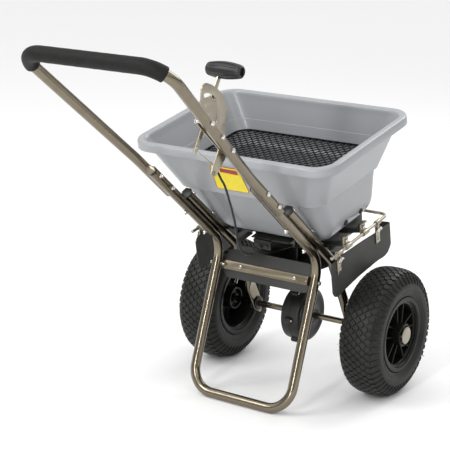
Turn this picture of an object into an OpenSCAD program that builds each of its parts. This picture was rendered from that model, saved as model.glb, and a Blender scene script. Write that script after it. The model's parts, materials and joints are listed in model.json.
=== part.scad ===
// Walk-behind broadcast spreader: tube frame on two pneumatic tyres, plastic
// hopper over a gear-driven spinner, rate lever with a cable to the shutter.
// +X is the machine's right, +Y its direction of travel, +Z up.
// It stands parked on both tyres and the foot of its stand.

/* [Parts] */
// Name of the part to draw, or all

/* [Frame] */
// Outside diameter of the frame tubes
tube_d = 25; // [22:0.5:28]
// Wall of the frame tubes
tube_wall = 1.5; // [1:0.1:2.5]
// Distance from the middle of the machine to a stand tube's axis
stand_x = 145; // [135:1:150]
// Height of the bend in the stand tube
bend_z = 373; // [360:1:390]
// Distance of that bend behind the wheel axle
bend_back = 175; // [165:1:185]
// Distance of the stand's foot behind the wheel axle
foot_back = 298; // [280:1:310]
// Slope of the handle above the horizontal, in degrees
slope = 38; // [36:0.5:40]
// Distance up the slope from the bend to the hand grip
grip_up = 891; // [860:1:920]
// Half width of the handle at the grip
handle_half = 193; // [185:1:200]
// Outside diameter of the foam grip
grip_d = 35; // [32:0.5:38]

/* [Wheels] */
// Outside diameter of the tyres
tyre_d = 330; // [320:1:340]
// Width of the tyres
tyre_w = 112; // [108:1:120]
// Distance from the middle of the machine to the middle of a wheel
wheel_x = 245; // [243:1:255]
// Outside diameter of the rim flanges
rim_d = 194; // [190:1:198]
// Diameter of the axle
axle_d = 16; // [14:0.5:18]

/* [Hopper] */
// Backward lean of the hopper when parked, in degrees
lean = 11.7; // [10:0.1:13]
// Outside width of the hopper rim
rim_w = 566; // [550:1:580]
// Outside length of the hopper rim
rim_l = 426; // [410:1:440]
// Height of the rim above the axle, along the leaning upright
rim_up = 550; // [540:1:560]
// Wall of the hopper
hopper_wall = 4; // [3:0.5:5]

/* [Spreading gear] */
// Diameter of the spinner disc
spinner_d = 236; // [200:2:240]
// Diameter of the gearbox
gearbox_d = 140; // [130:1:146]
// Teeth of the gear on the axle
axle_teeth = 36; // [36:12:48]
// Teeth of the gear on the spinner shaft
spinner_teeth = 12; // [12:4:16]

/* [Hidden] */
$fn = 48;
clear = 0.3;          // between pieces that move apart
run = 0.05;           // radial play of a shaft in its bush
touch = 0.05;         // between pieces that are bolted together
hairline = 0.02;      // between a tube's straights and its bends
tube_r = tube_d / 2;
bore_r = tube_r - tube_wall;
axle_z = tyre_d / 2;
axle_r = axle_d / 2;
up = [0, -cos(slope), sin(slope)];      // up the slope
out = [0, sin(slope), cos(slope)];      // square to the slope
bend = [0, -bend_back, bend_z];
foot = [0, -foot_back, tube_r];
grip_rear = bend_back + grip_up * cos(slope) + grip_d / 2;
shift = (grip_rear - axle_z) / 2;       // puts the middle of the length at y = 0
cap_up = 374;         // top of the stand tube, up the slope
lap_end = 266;        // bottom of the handle tube, up the slope
crush = 11.5;         // handle tube's offset beside the stand tube
strut_top = 212;      // top of the strut, up the slope
handle_x = stand_x + crush;
screw_up = [354, 293];                  // handle bolts, up the slope
strut_screw_up = [188, 81];             // strut bolts, up the slope
bar_z = 319.5;        // shield bar
leg_slope = atan2(foot_back - bend_back, bend_z - tube_r);

function unit(v) = v / norm(v);
function turn(a, b) = acos(a * b);

// Moves the machine's axes so that its length is centred
module machine() translate([0, shift, 0]) children();

// Axes of the leaning hopper, with their origin on the axle
module leaning() machine() translate([0, 0, axle_z]) rotate([lean, 0, 0]) children();

// Lays local X along x and local Y along y
module align(x, y) {
    z = cross(x, y);
    rotate([atan2(y[2], z[2]), -asin(x[2]), atan2(x[1], x[0])]) children();
}

// Bar from a to b, hollow where hole is more than 0
module bar(a, b, r, hole = 0) {
    d = b - a;
    translate(a) rotate([0, acos(d[2] / norm(d)), atan2(d[1], d[0])]) difference() {
        cylinder(h = norm(d), r = r);
        if (hole > 0) translate([0, 0, -1]) cylinder(h = norm(d) + 2, r = hole);
    }
}

// Bar through the points p, bent to the radii b at its inner points. A hairline
// parts each bend from its straights, so every piece stays an exact solid.
module bent(p, b, r, hole = 0) {
    n = len(p);
    u = [for (i = [0:n - 2]) unit(p[i + 1] - p[i])];
    t = [for (i = [0:n - 1]) i == 0 || i == n - 1 ? 0
        : b[i - 1] * tan(turn(u[i - 1], u[i]) / 2)];
    for (i = [0:n - 2]) bar(p[i] + u[i] * (t[i] + (i > 0 ? hairline : 0)),
        p[i + 1] - u[i] * (t[i + 1] + (i < n - 2 ? hairline : 0)), r, hole);
    for (i = [1:n - 2]) {
        w = unit(u[i] - u[i - 1] * (u[i] * u[i - 1]));
        translate(p[i] - u[i - 1] * t[i] + w * b[i - 1]) align(-w, u[i - 1])
            rotate_extrude(angle = turn(u[i - 1], u[i])) translate([b[i - 1], 0])
                difference() {
                    circle(r);
                    if (hole > 0) circle(hole);
                }
    }
}

module tube(p, b) bent(p, b, tube_r, bore_r);

// Hexagonal head with its back on z = 0
module hex(af, h) cylinder(h = h, r = af / sqrt(3), $fn = 6);

// Bolt along local X from head face to nut face
module cross_bolt(r, from, to) {
    translate([from, 0, 0]) rotate([0, 90, 0]) cylinder(h = to - from, r = r);
    translate([to, 0, 0]) rotate([0, 90, 0]) hex(3.2 * r, 1.4 * r);
    translate([from - 1.6 * r, 0, 0]) rotate([0, 90, 0]) hex(3.2 * r, 1.6 * r);
    translate([from - 3 * r, 0, 0]) rotate([0, 90, 0]) cylinder(h = 1.5 * r, r = r);
}

/* frame */

grip_corner = 60;
handle_path = [bend + up * lap_end + [-handle_x, 0, 0], bend + up * 430 + [-handle_x, 0, 0],
    bend + up * grip_up + [-handle_half, 0, 0], bend + up * grip_up + [handle_half, 0, 0],
    bend + up * 430 + [handle_x, 0, 0], bend + up * lap_end + [handle_x, 0, 0]];

module handle_tube() color("#9a917e") machine() difference() {
    tube(handle_path, [300, grip_corner, grip_corner, 300]);
    for (s = [-1, 1]) {
        bar(bend + [s * stand_x, 0, 0] + up * (lap_end - 9),
            bend + [s * stand_x, 0, 0] + up * (cap_up + 6), tube_r + touch);
        for (d = screw_up) translate(bend + up * d) rotate([0, 90, 0])
            cylinder(h = 500, r = 3.3, center = true);
        for (d = quad_up) translate(bend + up * d + [100, 0, 0]) rotate([0, 90, 0])
            cylinder(h = 200, r = 3.3);
    }
}

// foam over the cross bar, ending part of the way round each corner
grip_turns = [84, 55];                  // left and right, in degrees from the cross bar
module handle_grip() color("#2d2e2d") machine() {
    leg = unit(handle_path[1] - handle_path[2]);
    across = [-1, 0, 0];
    inward = unit(leg - across * (leg * across));
    reach = grip_corner * tan(turn(across, leg) / 2);
    for (i = [0, 1]) mirror([i, 0, 0])
        translate(handle_path[2] - across * reach + inward * grip_corner)
            align(-inward, across) rotate_extrude(angle = grip_turns[i])
                translate([grip_corner, 0]) difference() {
                    circle(grip_d / 2);
                    circle(tube_r + touch);
                }
    bar(handle_path[2] - across * (reach + hairline),
        handle_path[3] + across * (reach + hairline), grip_d / 2, tube_r + touch);
}

stand_path = [bend + up * cap_up + [-stand_x, 0, 0], bend + [-stand_x, 0, 0],
    foot + [-stand_x, 0, 0], foot + [stand_x, 0, 0], bend + [stand_x, 0, 0],
    bend + up * cap_up + [stand_x, 0, 0]];

module stand_tube() color("#9a917e") machine() difference() {
    tube(stand_path, [70, 62, 62, 70]);
    for (d = screw_up) translate(bend + up * d) rotate([0, 90, 0])
        cylinder(h = 500, r = 3.3, center = true);
    for (s = [-1, 1], d = strut_screw_up) translate(bend + up * d + [s * stand_x, 0, 0])
        rotate([-slope, 0, 0]) cylinder(h = 60, r = 3.3, center = true);
    translate([0, leg_y(bar_z), bar_z]) rotate([0, 90, 0])
        cylinder(h = 500, r = 3.3, center = true);
}

function leg_y(z) = -bend_back - (bend_z - z) * (foot_back - bend_back) / (bend_z - tube_r);

module plug(top, x, lift = 0, af = 0) machine() translate(bend + [x, 0, 0] + up * (top + touch)
        + out * lift) rotate([90 - slope, 0, 0]) {
    if (af > 0) translate([0, 0.5, 0]) hex(af, 5); else cylinder(h = 4, r = tube_r);
    translate([0, 0, -14]) cylinder(h = 14, r = bore_r - touch);
}

module stand_end_caps() color("#1c1c1a") for (s = [-1, 1]) plug(cap_up, s * stand_x);

strut_foot = unit([0, -0.507, 0.862]);   // up the strut's lower leg
strut_bend = [0, -112, 355.6];
axle_c = [0, 0, axle_z];

module strut(s) color("#9a917e") machine() difference() {
    union() {
        tube([bend + [s * stand_x, 0, 0] + up * strut_top + out * (tube_d + touch),
            strut_bend + [s * stand_x, 0, 0],
            axle_c + [s * stand_x, 0, 0] + strut_foot * 52], [70]);
        // flattened eye around the axle bush
        translate([s * stand_x, 0, axle_z]) rotate([-30.5, 0, 0]) rotate([90, 0, 90])
            linear_extrude(9, center = true) polygon([[-17, 62], [17, 62], [19, 40],
                [19, -14], [8, -30], [-8, -30], [-19, -14], [-19, 40]]);
    }
    translate(axle_c + [s * stand_x, 0, 0]) rotate([0, 90, 0])
        cylinder(h = 40, r = 13 + touch, center = true);
    for (d = strut_screw_up) translate(bend + up * d + [s * stand_x, 0, 0])
        rotate([-slope, 0, 0]) cylinder(h = 100, r = 3.3);
    translate(bend + up * 131 + [s * stand_x, 0, 0]) rotate([-slope, 0, 0])
        translate([0, 0, tube_d]) cylinder(h = 30, r = 3.5);
}
module strut_left() strut(-1);
module strut_right() strut(1);

module strut_end_caps() color("#1c1c1a") for (s = [-1, 1])
    plug(strut_top, s * stand_x, tube_d + touch, 26);

module handle_bolts() color("#c9c6bd") machine() for (s = [0, 1], d = screw_up)
    translate(bend + up * d) mirror([s, 0, 0])
        cross_bolt(3, stand_x - tube_r - touch, handle_x + tube_r + touch);

module strut_bolts() color("#c9c6bd") machine() for (s = [-1, 1], d = strut_screw_up)
    translate(bend + up * d + [s * stand_x, 0, 0]) rotate([-slope, 0, 0])
        rotate([0, -90, 0]) cross_bolt(3, -tube_r - touch, tube_r + tube_d + 2 * touch);

// flat bar between the stand legs with its ends bent forward along them
module shield_bar() color("#9a917e") machine() translate([0, leg_y(bar_z), bar_z])
    rotate([-leg_slope, 0, 0]) difference() {
        union() {
            translate([0, 14, 0]) cube([2 * bar_half, 3, 22], center = true);
            for (s = [-1, 1]) translate([s * (bar_half - 1.5), 0.5, 0])
                cube([3, 30, 22], center = true);
        }
        rotate([0, 90, 0]) cylinder(h = 400, r = 3.3, center = true);
        for (s = [-1, 1]) translate([s * rivet_x, 0, 0]) rotate([-90, 0, 0])
            cylinder(h = 30, r = 2.6);
    }
bar_half = stand_x - tube_r - touch;
rivet_x = 80;

module rear_shield() color("#3a3a38") machine() translate([0, leg_y(bar_z), bar_z])
    rotate([-leg_slope, 0, 0]) difference() {
        translate([0, 17.1, 0]) rotate([90, 0, 0]) linear_extrude(3, center = true)
            translate([0, 6]) rounded([260, 74], 24);
        for (s = [-1, 1]) translate([s * rivet_x, 0, 0]) rotate([-90, 0, 0])
            cylinder(h = 30, r = 2.6);
    }

module rounded(size, r) {
    square([size[0], size[1] - 2 * r], center = true);
    square([size[0] - 2 * r, size[1]], center = true);
    for (i = [-1, 1], j = [-1, 1])
        translate([i * (size[0] / 2 - r), j * (size[1] / 2 - r)]) circle(r);
}

module shield_bolts() color("#c9c6bd") machine() translate([0, leg_y(bar_z), bar_z])
    rotate([-leg_slope, 0, 0]) {
        for (s = [0, 1]) mirror([s, 0, 0])
            cross_bolt(3, bar_half - 3 - touch, stand_x + tube_r + touch);
        for (s = [-1, 1]) translate([s * rivet_x, 0, 0]) rotate([-90, 0, 0]) {
            translate([0, 0, 10]) cylinder(h = 2.4, r = 4.5);
            translate([0, 0, 12.4]) cylinder(h = 6.4, r = 2.5);
            translate([0, 0, 18.7]) cylinder(h = 2, r = 4.5);
        }
    }

/* axle and gearbox */

module axle_bushes() color("#20201e") machine() for (s = [-1, 1])
    translate([s * stand_x, 0, axle_z]) rotate([0, s * 90, 0]) difference() {
        union() {
            translate([0, 0, -9]) cylinder(h = 18, r = 13);
            translate([0, 0, -9]) cylinder(h = 4, r = 19);
            translate([0, 0, 5]) cylinder(h = 4, r = 17);
        }
        cylinder(h = 40, r = axle_r + run, center = true);
    }

axle_half = wheel_x + 57;
module axle() color("#9a917e") machine() translate(axle_c) rotate([0, 90, 0])
    difference() {
        cylinder(h = 2 * axle_half, r = axle_r, center = true);
        translate([0, 0, wheel_x + 53]) rotate([90, 0, 0])
            cylinder(h = 40, r = 2.5, center = true);
    }

gear_r = 42;          // pitch radius of the gear on the axle
pin_r = gear_r * spinner_teeth / axle_teeth;
pitch = 360 / axle_teeth;
module axle_gear() color("#7c7b76") leaning() rotate([0, 90, 0])
    difference() {
        union() {
            translate([0, 0, -23]) cylinder(h = 6, r = gear_r + 6);
            translate([0, 0, -23]) cylinder(h = 33, r = 14);
            for (i = [0:axle_teeth - 1]) rotate([0, 0, 180 + (i + 0.5) * pitch])
                translate([gear_r, 0, -15.3]) cube([10, 3, 5], center = true);
        }
        cylinder(h = 90, r = axle_r, center = true);
    }

module pinion() color("#7c7b76") leaning() translate([0, 0, gear_r]) difference() {
    union() {
        cylinder(h = 10, r = pin_r - 3, center = true);
        for (i = [0:spinner_teeth - 1]) rotate([0, 0, 180 + i * 360 / spinner_teeth])
            translate([pin_r - 1.5, 0, 0]) cube([5, 2.4, 10], center = true);
    }
    cylinder(h = 20, r = 6, center = true);
}

box_r = gearbox_d / 2;
box_half_w = 27;      // from the joint to the drum's outer face
box_wall = 3.5;
lug_turns = [20, 80, 140, 200, 260, 320];
screw_out = 4.2;      // of the lugs' screws beyond the drum
module box_half(s) color("#232321") machine() translate(axle_c) rotate([lean, 0, 0])
    difference() {
        mirror([s < 0 ? 1 : 0, 0, 0]) rotate([0, 90, 0]) union() {
            difference() {
                union() {
                    cylinder(h = box_half_w, r = box_r);
                    cylinder(h = box_half_w + 4, r = box_r - 9);
                    cylinder(h = box_half_w + 11, r = 21);
                    for (a = lug_turns) rotate([0, 0, a])
                        translate([box_r, 0, 0]) cylinder(h = 9, r = 8);
                }
                translate([0, 0, -1]) cylinder(h = box_half_w - box_wall + 1, r = box_r - 5);
                cylinder(h = 100, r = axle_r + run, center = true);
                for (a = lug_turns) rotate([0, 0, a])
                    translate([box_r + screw_out, 0, -1]) cylinder(h = 20, r = 2.2);
            }
        }
        // neck hole for the spinner shaft, and a flat joint between the halves
        cylinder(h = 90, r = 6 + run);
        translate([s < 0 ? -touch / 2 : -50, -100, -100])
            cube([50 + touch / 2, 200, 200]);
    }
module gearbox_left() box_half(-1);
module gearbox_right() box_half(1);

module gearbox_screws() color("#c9c6bd") machine() translate(axle_c)
    rotate([lean, 0, 0]) for (a = lug_turns) rotate([0, 90, 0])
        rotate([0, 0, a]) translate([box_r + screw_out, 0, 0]) {
            translate([0, 0, -9]) cylinder(h = 18, r = 2.1);
            translate([0, 0, 9.05]) cylinder(h = 3, r = 4);
        }

/* wheels */

rim_r = rim_d / 2;
seat_r = 80;          // where the tyre's bead sits
module tyre(s) color("#2a2a28") machine() translate([s * wheel_x, 0, axle_z])
    rotate([0, 90, 0]) rotate_extrude($fn = 96) difference() {
        tyre_section(0);
        tyre_section(9);
        translate([0, -100]) square([seat_r + touch, 200]);
        for (i = [44, -84]) translate([0, i]) square([rim_r + touch, 40]);
    }
module tyre_section(t) {
    r = 45 - t;
    for (i = [-1, 1]) translate([tyre_d / 2 - 45, i * (tyre_w / 2 - 45)]) circle(r);
    translate([tyre_d / 2 - 45, -(tyre_w / 2 - 45)]) square([r, tyre_w - 90]);
    translate([rim_r + 1 + t, -(tyre_w / 2 - t)])
        square([tyre_d / 2 - 46 - rim_r - t, tyre_w - 2 * t]);
    translate([seat_r - 1, -44 + t]) square([rim_r - seat_r + 3, 88 - 2 * t]);
}
module tyre_right() tyre(1);
module tyre_left() tyre(-1);

module rim(s) color("#1f1f1e") machine() translate([s * wheel_x, 0, axle_z])
    rotate([0, s * 90, 0]) difference() {
        union() {
            rotate_extrude($fn = 96) difference() {
                union() {
                    translate([seat_r - 5, -49]) square([5, 98]);
                    for (i = [-49, 44 + touch]) translate([seat_r - 5, i])
                        square([rim_r - seat_r + 5, 5 - touch]);
                }
            }
            translate([0, 0, -34]) cylinder(h = 90, r = 27);
            for (i = [0:4]) rotate([0, 0, 72 * i]) for (j = [-1, 1])
                translate([20, j * 13 - 2.5, 4]) cube([56.5, 5, 30]);
            translate([0, 0, 4]) difference() {
                cylinder(h = 5, r = seat_r - 3);
                for (i = [0:4]) rotate([0, 0, 72 * i + 36]) translate([52, 0, -1])
                    cylinder(h = 7, r = 17);
            }
        }
        cylinder(h = 200, r = axle_r + (s < 0 ? run : 0), center = true);
        if (s > 0) translate([0, 0, 53]) rotate([90, 0, 0])
            cylinder(h = 60, r = 2.5, center = true);
        rotate([0, 0, 36]) translate([seat_r - 8, 0, -15]) rotate([0, 90, 0])
            cylinder(h = 20, r = 3.6);
    }
module rim_right() rim(1);
module rim_left() rim(-1);

module hub_cap(s) color("#b9b2a2") machine()
    translate([s * (wheel_x + 57), 0, axle_z]) rotate([0, s * 90, 0]) {
        translate([0, 0, touch]) cylinder(h = 4, r = 21);
        translate([0, 0, 4]) cylinder(h = 2, r = 15);
    }
module hub_cap_right() hub_cap(1);
module hub_cap_left() hub_cap(-1);

module valve(s) color("#c9c6bd") machine() translate([s * wheel_x, 0, axle_z])
    rotate([0, s * 90, 0]) rotate([0, 0, 36]) translate([0, 0, -15]) {
        translate([44, 0, 0]) rotate([0, 90, 0]) cylinder(h = 38, r = 3.5);
        translate([40, 0, 0]) rotate([0, 90, 0]) cylinder(h = 8, r = 4.4);
    }
module valve_right() valve(1);
module valve_left() valve(-1);

module drive_pin() color("#c9c6bd") machine() translate(axle_c + [wheel_x + 53, 0, 0])
    rotate([90, 0, 0]) cylinder(h = 56, r = 2.5, center = true);

/* hopper */

rim_c = -71;          // middle of the rim, along the lean
ledge_up = 416;       // ledge between the hopper's two tiers
floor_up = 272;       // hopper floor
module ring(w, l, c, z, r, h) translate([0, c, z]) linear_extrude(h) rounded([w, l], r);

// one tier: a stack of tapering walls built as a solid between two rounded outlines
module tier(w0, l0, c0, z0, w1, l1, c1, z1, r0, r1) hull() {
    ring(w0, l0, c0, z0, r0, 0.01);
    ring(w1, l1, c1, z1 - 0.01, r1, 0.01);
}
module hopper_solid(t) {
    tier(2 * tier_half[2] + 4 - 2 * t, 316 - 2 * t, -53, ledge_up + (t > 0 ? t : 0),
        536 - 2 * t, 396 - 2 * t, rim_c, rim_up - 3 + (t > 0 ? 4 : 0), 42, 45, $fn = 32);
    // lower tier: its sides turn in below the knee
    hull($fn = 32) {
        ring(2 * tier_half[0] - 2 * t, 191 - 2 * t, -11.5, floor_up + t, 30, 0.01);
        ring(2 * tier_half[1] - 2 * t, 236 - 2 * t, -15, knee_up + t / 2, 34, 0.01);
        ring(2 * tier_half[2] - 2 * t, 313 - 2 * t, -52.5, ledge_up + (t > 0 ? t + 1 : 0.5),
            40, 0.01);
    }
}
module hopper() color("#8f959b") leaning() difference() {
    union() {
        difference() {
            hopper_solid(0);
            hopper_solid(hopper_wall);
        }
        // rolled rim with its lip turned down
        difference() {
            ring(rim_w, rim_l, rim_c, rim_up - 22, 60, 22);
            ring(rim_w - 8, rim_l - 8, rim_c, rim_up - 23, 56, 19);
            ring(532, 392, rim_c, rim_up - 30, 43, 60);
        }
    }
    outlets(floor_up - 1, 10);
}
module outlets(z, h) {
    translate([0, 0, z]) cylinder(h = h, r = 9);
    for (x = [-45, 0, 45]) translate([x, 45 - abs(x) / 3, z]) cylinder(h = h, r = 13);
}

// caps over the screws low on the hopper's side walls
tier_half = [140, 178, 206];            // half width of the lower tier: floor, knee, ledge
knee_up = 308;
wall_lean = atan2(tier_half[2] - tier_half[1], ledge_up - knee_up);
cap_up_w = 312;
module hopper_caps() color("#1c1c1a") leaning() for (s = [-1, 1], y = [-50, 25])
    translate([s * (tier_half[1] + (cap_up_w - knee_up) * tan(wall_lean)), y, cap_up_w])
        rotate([0, s * (90 + wall_lean), 0]) translate([0, 0, touch]) {
            cylinder(h = 3, r = 7.5);
            cylinder(h = 4.5, r = 5.5);
        }

module chassis() color("#232321") leaning() difference() {
    union() {
        translate([0, 4, 266]) linear_extrude(5.9) rounded([280, 204], 12);
        for (s = [-1, 1]) translate([s * 137, 16, 251]) cube([6, 164, 32], center = true);
        for (s = [-1, 1]) translate([s * 60, 0, 261]) cube([8, 180, 12], center = true);
    }
    outlets(250, 30);
    for (s = [-1, 1]) translate([s * 137, clamp_y[1], 264.3]) cube([20, 24.2, 3.7], center = true);
}

// slides to and fro under the chassis plate, between its two guide rails
module shutter() color("#a39a86") leaning() difference() {
    translate([0, -28, 263.5]) cube([110, 190, 3], center = true);
    translate([0, 0, 255]) linear_extrude(20) {
        translate([-9, -60]) square([18, 110]);
        circle(9);
    }
    for (x = [-45, 45]) translate([x, 30, 255]) cylinder(h = 20, r = 13);
}

// bracket on the shutter's rear edge that takes the end of the cable
module shutter_link() color("#b9b2a2") leaning() {
    translate([-20, -116, 260.2]) cube([50, 26, 3.4], center = true);
    translate([-20, -127.5, 250]) cube([50, 3, 24], center = true);
    translate([-24, -125, 244]) rotate([90, 0, 0]) cylinder(h = 9, r = 5);
    translate([-4, -125, 248]) rotate([90, 0, 0]) cylinder(h = 8, r = 4);
}

// bracket from the chassis that holds the end of the cable
module cable_stop() color("#b9b2a2") leaning() difference() {
    union() {
        translate([-70, -131, 263.9]) cube([14, 56, 4], center = true);
        translate([-70, -158, 254]) cube([14, 3, 20], center = true);
        translate([-44, -158, 247]) cube([64, 3, 14], center = true);
    }
    translate([-24, -158, 250]) rotate([90, 0, 0]) cylinder(h = 20, r = 3.2, center = true);
}

mesh_up = 452;
module screen() color("#20201e") leaning() translate([0, -58, mesh_up]) {
    difference() {
        linear_extrude(5) rounded([430, 322], 40);
        translate([0, 0, -1]) linear_extrude(7) rounded([422, 314], 36);
    }
    intersection() {
        linear_extrude(5) rounded([425, 317], 38);
        union() {
            for (i = [-10:10]) translate([i * 20, 0, 1.5])
                cube([4, 330, 3], center = true);
            for (i = [-8:8]) translate([0, i * 18.5, 3]) cube([430, 4, 3], center = true);
        }
    }
}

/* spinner */

disc_up = 172;
module spinner_disc() color("#2a2a28") leaning() translate([0, 0, disc_up]) difference() {
    union() {
        cylinder(h = 3, r = spinner_d / 2);
        cylinder(h = 22, r = 14);
        for (a = [0:60:300]) rotate([0, 0, a]) translate([13, -1.5, 0])
            cube([spinner_d / 2 - 15, 3, 24]);
    }
    cylinder(h = 100, r = 6, center = true);
}
module spinner_shaft() color("#9a917e") leaning() translate([0, 0, 32])
    cylinder(h = 272, r = 6);
module agitator() color("#9a917e") leaning() translate([0, 0, 286]) difference() {
    union() {
        cylinder(h = 12, r = 10);
        for (a = [0, 180]) rotate([0, 0, a]) translate([8, 0, 6]) rotate([0, 90, 0])
            cylinder(h = 40, r = 2.5);
    }
    cylinder(h = 50, r = 6, center = true);
}

/* side deflectors */

rod_x = 205;
rod_r = 4;
rod_up = 270;
clamp_y = [-88, -3];
arm_end = 197;        // outer face of the arms
bolt_up = 284;
module deflector_rod() color("#b9b2a2") leaning() bent([[-rod_x, -168, rod_up],
    [-rod_x, 114, rod_up], [rod_x, 114, rod_up], [rod_x, -168, rod_up]], [18, 18], rod_r);

// arms from under the chassis plate up and out to the rod
module rod_arms() color("#232321") leaning() for (s = [0, 1], y = clamp_y) mirror([s, 0, 0])
    difference() {
        translate([0, y + 12, 0]) rotate([90, 0, 0]) linear_extrude(24)
            polygon([[112, 262.5], [150, 262.5], [arm_end, 272.5], [arm_end, 295],
                [arm_end - 4, 295], [arm_end - 4, 277.5], [149, 267.5], [140.1, 267.5],
                [140.1, 265.9], [112, 265.9]]);
        translate([arm_end, y, bolt_up]) rotate([0, 90, 0])
            cylinder(h = 30, r = 3.2, center = true);
    }

// saddle plates that hold the rod to the arms
module rod_clamps() color("#b9b2a2") leaning() for (s = [0, 1], y = clamp_y)
    mirror([s, 0, 0]) difference() {
        union() {
            translate([arm_end + touch, y - 12, rod_up - 4]) cube([3, 24, 31]);
            translate([arm_end + touch, y - 12, rod_up + 24]) cube([9, 24, 3]);
            translate([rod_x, y, rod_up]) rotate([90, 0, 0])
                cylinder(h = 24, r = rod_r + 3, center = true);
        }
        translate([rod_x, y, rod_up]) rotate([90, 0, 0])
            cylinder(h = 40, r = rod_r + touch, center = true);
        translate([arm_end, y, bolt_up]) rotate([0, 90, 0])
            cylinder(h = 30, r = 3.2, center = true);
    }
module clamp_bolts() color("#c9c6bd") leaning() for (s = [0, 1], y = clamp_y)
    mirror([s, 0, 0]) translate([0, y, bolt_up])
        cross_bolt(3, arm_end - 4 - touch, arm_end + 3 + 2 * touch);

// shield that hangs from the rod beside the wheel, with its front edge turned in.
// Hairlines part it where its lower edge bends, so that every piece is convex.
shield_parts = [
    [[-164, 246], [-155, 253], [-100, 254], [-40 - hairline, 250.2], [-40 - hairline, 164],
        [-106, 160], [-146, 157], [-158, 162], [-165, 175]],
    [[-40, 250.2], [-5, 248], [60, 241.9], [60, 164], [-40, 164]],
    [[60 + hairline, 241.9], [80, 240], [126, 243], [137, 207], [146, 176], [143, 163],
        [130, 158], [90, 160], [60 + hairline, 164]]];
module side_shield(s) color("#3a3a38") leaning() mirror([s < 0 ? 1 : 0, 0, 0])
    translate([rod_x, 0, 0]) {
        for (part = shield_parts) translate([-5, 0, 0]) rotate([90, 0, 90])
            linear_extrude(2.5, center = true) polygon(part);
        translate([-47.5, 137.75, 177]) cube([41.2, 2.5, 60]);
    }
module shield_left() side_shield(-1);
module shield_right() side_shield(1);

hang_y = [-131, 62];
module hangers(s) color("#b9b2a2") leaning() mirror([s < 0 ? 1 : 0, 0, 0])
    for (y = hang_y) difference() {
        union() {
            translate([rod_x - 2.2, y, 242]) cube([3, 20, 56], center = true);
            translate([rod_x, y, rod_up]) rotate([90, 0, 0])
                cylinder(h = 20, r = rod_r + 2.5, center = true);
            translate([rod_x - 3, y, 226]) rotate([0, 90, 0]) cylinder(h = 5, r = 4);
        }
        translate([rod_x, y, rod_up]) rotate([90, 0, 0])
            cylinder(h = 40, r = rod_r + run, center = true);
    }
module hangers_left() hangers(-1);
module hangers_right() hangers(1);
module wing_nuts(s) color("#c9c6bd") leaning() mirror([s < 0 ? 1 : 0, 0, 0])
    for (y = hang_y) translate([rod_x - 0.6, y, 248]) {
        rotate([0, 90, 0]) cylinder(h = 5, r = 4.5);
        for (j = [-1, 1]) translate([5, j * 7, 4]) rotate([j * -35, 0, 0])
            cube([2, 12, 7], center = true);
    }
module wing_nuts_left() wing_nuts(-1);
module wing_nuts_right() wing_nuts(1);

/* rate lever and cable */

quad_up = [678, 620, 560];
quad_x = 150;         // inner face of the quadrant
quad_thick = 2.8;
pivot = [0, -680, 799];
lever_turn = 60.9;    // the lever's own slope, in degrees
lever_off = -15.5;    // from the pivot square to the lever's middle line
slot_r = 44.3;
module quadrant() color("#a39a86") machine() translate([quad_x, 0, 0]) rotate([90, 0, 90])
    linear_extrude(quad_thick) difference() {
        polygon([[-714, 787], [-704, 807], [-698, 834], [-697, 857], [-692, 865],
            [-681, 868], [-663, 863], [-637, 850], [-620, 837], [-603, 806],
            [-602, 793], [-606, 774], [-606, 747], [-601, 724], [-599, 712],
            [-608, 703], [-650, 735]]);
        translate([pivot[1], pivot[2]]) {
            circle(3.05);
            for (a = [-26:2:100]) rotate(a) translate([slot_r, 0]) circle(3.6, $fn = 24);
        }
        for (d = quad_up) translate([bend[1] + up[1] * d, bend[2] + up[2] * d])
            circle(3.2);
        translate([-683, 820]) circle(2.5);
    }

// long bolts through the quadrant and the handle tube, the last through the anchor too
module quadrant_bolts() color("#c9c6bd") machine() for (i = [0:2])
    translate(bend + up * quad_up[i]) rotate([0, 90, 0]) {
        head = quad_x - (i == 2 ? 5.7 : 2.4);
        tube_x = handle_at(quad_up[i]);
        translate([0, 0, head]) cylinder(h = 2.3, r = 5);
        translate([0, 0, head + 2.2]) cylinder(h = tube_x + 15.8 - head, r = 3);
        translate([0, 0, tube_x + tube_r + 0.4]) hex(9.6, 4.5);
    }
function handle_at(d) = handle_x + (handle_half - handle_x) * (d - 430) / (grip_up - 430);

module on_lever() machine() translate([quad_x - 8.3, pivot[1], pivot[2]])
    rotate([lever_turn, 0, 0]) children();
module lever() color("#a39a86") on_lever() difference() {
    union() {
        rotate([90, 0, 90]) linear_extrude(4) {
            translate([-76, lever_off - 6]) square([177, 12]);
            translate([-76, lever_off]) circle(6);
            polygon([[-16, lever_off], [-8.5, 4], [8.5, 4], [16, lever_off]]);
            circle(9);
        }
        translate([4, sqrt(slot_r * slot_r - lever_off * lever_off), lever_off])
            rotate([0, 90, 0]) cylinder(h = 8, r = 2.8);
    }
    rotate([0, 90, 0]) cylinder(h = 30, r = 3.05, center = true);
    translate([0, -70, lever_off]) rotate([0, 90, 0]) cylinder(h = 30, r = 2.2, center = true);
}
// spindle-shaped grip across the lever's end
module lever_knob() color("#1f1f1e") on_lever() translate([2, 109.4, lever_off])
    rotate([0, 90, 0]) difference() {
        translate([0, 0, 9.8]) rotate_extrude() polygon([[0, -44], [12.5, -44],
            [19, -10], [19, 10], [12.5, 44], [0, 44]]);
        translate([0, -16, 0]) cube([12 + touch, 16 + touch, 4 + touch], center = true);
    }
module lever_pivot() color("#c9c6bd") machine() {
    translate(pivot) cross_bolt(3, quad_x - 8.4, quad_x + quad_thick + 0.1);
    translate([quad_x - 4.2, pivot[1], pivot[2]]) rotate([0, 90, 0])
        cylinder(h = 4.1, r = 6);
}

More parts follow.
